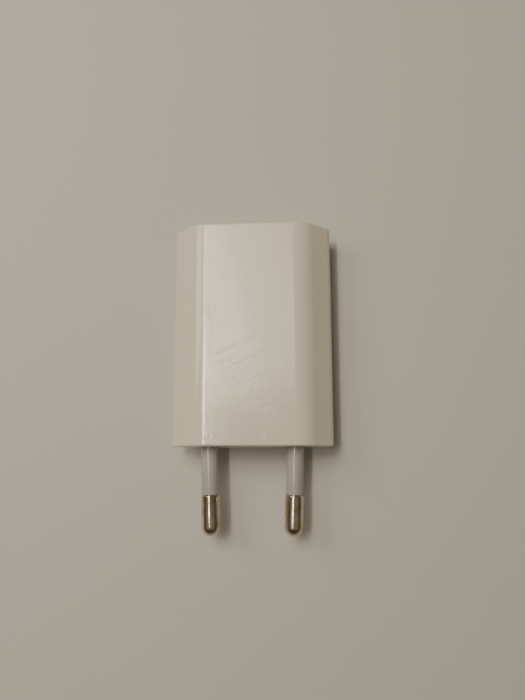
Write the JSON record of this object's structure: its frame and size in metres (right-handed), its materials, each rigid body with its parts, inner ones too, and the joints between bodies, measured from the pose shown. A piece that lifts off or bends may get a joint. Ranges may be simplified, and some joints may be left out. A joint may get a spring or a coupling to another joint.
{
  "type": "usb wall charger",
  "caption": "Slim mains adaptor: white chamfered case with a flat plug face and sprung-contact USB socket, round part-sleeved pins, and the power circuit inside.",
  "frame": {"origin": "centre of the plug face, the flat end of the body that meets the wall socket", "axes": "-Y out of the plug face along the pins, +Y towards the USB socket, +X across the body through both pins, +Z out of the front face"},
  "size_m": [0.0356, 0.0682, 0.0138],
  "materials": {
    "case_white": "gloss",
    "base_white": "satin",
    "sleeve_white": "satin",
    "pin_nickel": "polished",
    "lug_brass": "satin",
    "board_green": "satin",
    "film_clear": "gloss",
    "capacitor_aluminium": "satin",
    "capacitor_bung": "matte",
    "ferrite": "matte",
    "bobbin_black": "satin",
    "winding_copper": "satin",
    "tape_yellow": "satin",
    "epoxy_black": "satin",
    "chip_ceramic": "satin",
    "disc_blue": "gloss",
    "resistor_green": "satin",
    "socket_steel": "satin",
    "tongue_white": "satin",
    "contact_gold": "polished"
  },
  "bodies": {
    "charger": {"bridge_rectifier": "epoxy_black", "bulk_capacitor_1_bung": "capacitor_bung", "bulk_capacitor_1_can": "capacitor_aluminium", "bulk_capacitor_2_bung": "capacitor_bung", "bulk_capacitor_2_can": "capacitor_aluminium", "case_shell": "case_white", "choke_core": "ferrite", "choke_winding": "winding_copper", "circuit_board": "board_green", "clamp_capacitor": "chip_ceramic", "clamp_diode": "epoxy_black", "clamp_resistor": "chip_ceramic", "controller_ic": "epoxy_black", "data_resistor_1": "chip_ceramic", "data_resistor_2": "chip_ceramic", "feedback_resistor_1": "chip_ceramic", "feedback_resistor_2": "chip_ceramic", "fusible_resistor": "resistor_green", "insulation_film": "film_clear", "live_pin": "pin_nickel", "live_pin_lug": "lug_brass", "live_pin_sleeve": "sleeve_white", "neutral_pin": "pin_nickel", "neutral_pin_lug": "lug_brass", "neutral_pin_sleeve": "sleeve_white", "output_capacitor_1_bung": "capacitor_bung", "output_capacitor_1_can": "capacitor_aluminium", "output_capacitor_2_bung": "capacitor_bung", "output_capacitor_2_can": "capacitor_aluminium", "output_ceramic_capacitor": "chip_ceramic", "output_rectifier": "epoxy_black", "plug_base": "base_white", "primary_winding": "winding_copper", "secondary_winding": "tape_yellow", "sense_resistor": "chip_ceramic", "startup_resistor_1": "chip_ceramic", "startup_resistor_2": "chip_ceramic", "supply_capacitor": "chip_ceramic", "supply_diode": "epoxy_black", "switching_transistor": "epoxy_black", "transformer_bobbin": "bobbin_black", "transformer_core_plug_side": "ferrite", "transformer_core_usb_side": "ferrite", "transformer_tape": "tape_yellow", "usb_contact_tail_1": "contact_gold", "usb_contact_tail_2": "contact_gold", "usb_contact_tail_3": "contact_gold", "usb_contact_tail_4": "contact_gold", "usb_insulator": "tongue_white", "usb_shell": "socket_steel", "y_capacitor": "disc_blue"},
    "contact_1": {"usb_contact_spring_1": "contact_gold"},
    "contact_2": {"usb_contact_spring_2": "contact_gold"},
    "contact_3": {"usb_contact_spring_3": "contact_gold"},
    "contact_4": {"usb_contact_spring_4": "contact_gold"}
  },
  "joints": [
    {"name": "contact_1_flex", "type": "hinge", "parent": "charger", "child": "contact_1", "pos_m": [-0.0035, 0.0395, 0.0008], "axis": [1, 0, 0], "range_deg": [0, 3], "stiffness_Nm_per_rad": 0.05},
    {"name": "contact_2_flex", "type": "hinge", "parent": "charger", "child": "contact_2", "pos_m": [-0.001, 0.0395, 0.0008], "axis": [1, 0, 0], "range_deg": [0, 3], "stiffness_Nm_per_rad": 0.05},
    {"name": "contact_3_flex", "type": "hinge", "parent": "charger", "child": "contact_3", "pos_m": [0.001, 0.0395, 0.0008], "axis": [1, 0, 0], "range_deg": [0, 3], "stiffness_Nm_per_rad": 0.05},
    {"name": "contact_4_flex", "type": "hinge", "parent": "charger", "child": "contact_4", "pos_m": [0.0035, 0.0395, 0.0008], "axis": [1, 0, 0], "range_deg": [0, 3], "stiffness_Nm_per_rad": 0.05}
  ]
}
